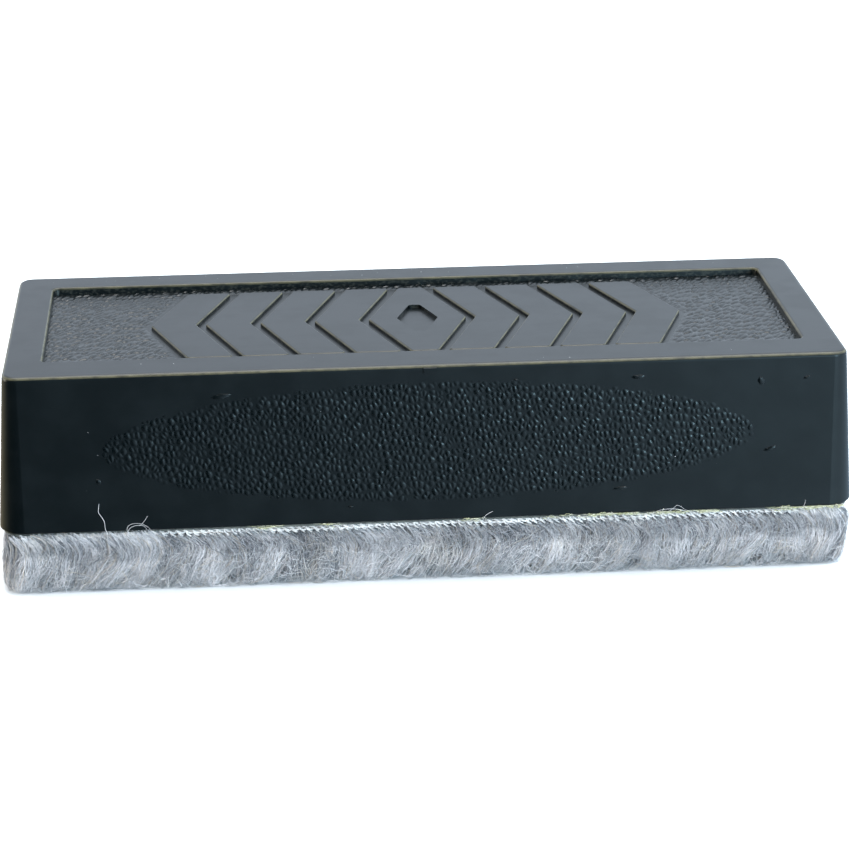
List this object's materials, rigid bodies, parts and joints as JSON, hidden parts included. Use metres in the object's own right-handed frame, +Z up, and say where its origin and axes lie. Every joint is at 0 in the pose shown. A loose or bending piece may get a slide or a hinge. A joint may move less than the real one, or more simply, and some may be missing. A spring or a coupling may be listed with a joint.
{
  "type": "chalkboard eraser",
  "caption": "Block-shaped chalkboard eraser: tapered black plastic handle with a sunk, patterned top panel over a deep grey pile wiping pad.",
  "frame": {"origin": "centre of the wiping face at the bottom of the pad", "axes": "+X along the eraser's length, +Y across it towards the back, +Z up through the handle"},
  "size_m": [0.127, 0.0508, 0.0336],
  "materials": {
    "black_plastic": "satin moulded, with pebble grain on the panel ends and side ovals",
    "glue": "yellowed hot-melt",
    "coating": "dried latex size",
    "ground_yarn": "twisted off-white yarn",
    "pile": "deep brushed grey pile"
  },
  "bodies": {
    "root": {"handle_shell": "black_plastic", "rim_glue_bead": "glue", "rib_glue_beads": "glue", "back_coating": "coating", "ground_inlay_yarns": "ground_yarn", "ground_wale_yarns": "ground_yarn", "edge_chain_yarns": "ground_yarn", "pile": "pile"}
  },
  "joints": []
}
